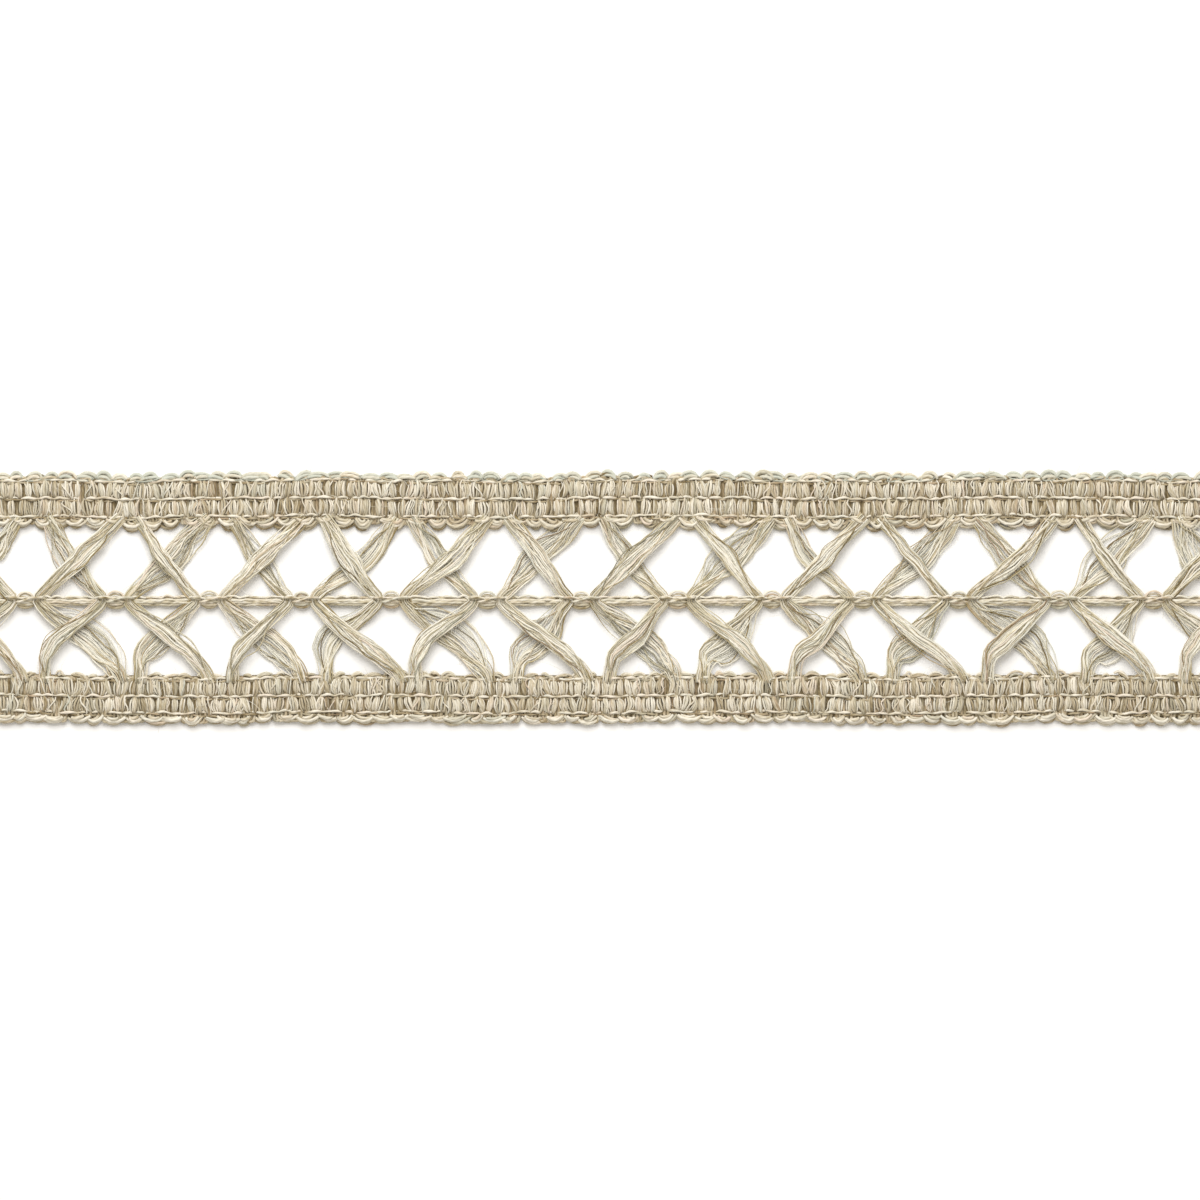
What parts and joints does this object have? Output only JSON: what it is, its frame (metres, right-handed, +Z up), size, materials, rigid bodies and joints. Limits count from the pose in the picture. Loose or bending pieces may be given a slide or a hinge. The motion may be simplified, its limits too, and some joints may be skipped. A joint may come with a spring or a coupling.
{
  "type": "length of openwork braid trim",
  "caption": "Flat length of openwork linen braid trim: two stitched scalloped headings joined by crossing yarn bundles tied along a centre chain.",
  "frame": {"origin": "middle of the underside of the whole length, on the surface it lies on", "axes": "+X along the trim, +Y from the lower heading to the upper heading, +Z up from the surface"},
  "size_m": [0.2434, 0.0514, 0.003],
  "materials": {
    "heading_linen": "natural linen yarn, stitched, matte",
    "bundle_linen": "natural linen yarn, loosely laid, matte with a slight sheen",
    "chain_linen": "natural linen yarn, chained tight, matte"
  },
  "bodies": {
    "root": {"bundle_left_01": "bundle_linen", "bundle_left_02": "bundle_linen", "bundle_left_03": "bundle_linen", "bundle_left_04": "bundle_linen", "bundle_left_05": "bundle_linen", "bundle_left_06": "bundle_linen", "bundle_left_07": "bundle_linen", "bundle_left_08": "bundle_linen", "bundle_left_09": "bundle_linen", "bundle_left_10": "bundle_linen", "bundle_left_11": "bundle_linen", "bundle_left_12": "bundle_linen", "bundle_left_13": "bundle_linen", "bundle_left_14_lower": "bundle_linen", "bundle_left_14_upper": "bundle_linen", "bundle_right_00_lower": "bundle_linen", "bundle_right_00_upper": "bundle_linen", "bundle_right_01": "bundle_linen", "bundle_right_02": "bundle_linen", "bundle_right_03": "bundle_linen", "bundle_right_04": "bundle_linen", "bundle_right_05": "bundle_linen", "bundle_right_06": "bundle_linen", "bundle_right_07": "bundle_linen", "bundle_right_08": "bundle_linen", "bundle_right_09": "bundle_linen", "bundle_right_10": "bundle_linen", "bundle_right_11": "bundle_linen", "bundle_right_12": "bundle_linen", "bundle_right_13": "bundle_linen", "centre_chain": "chain_linen", "heading_lower": "heading_linen", "heading_upper": "heading_linen"}
  },
  "joints": []
}
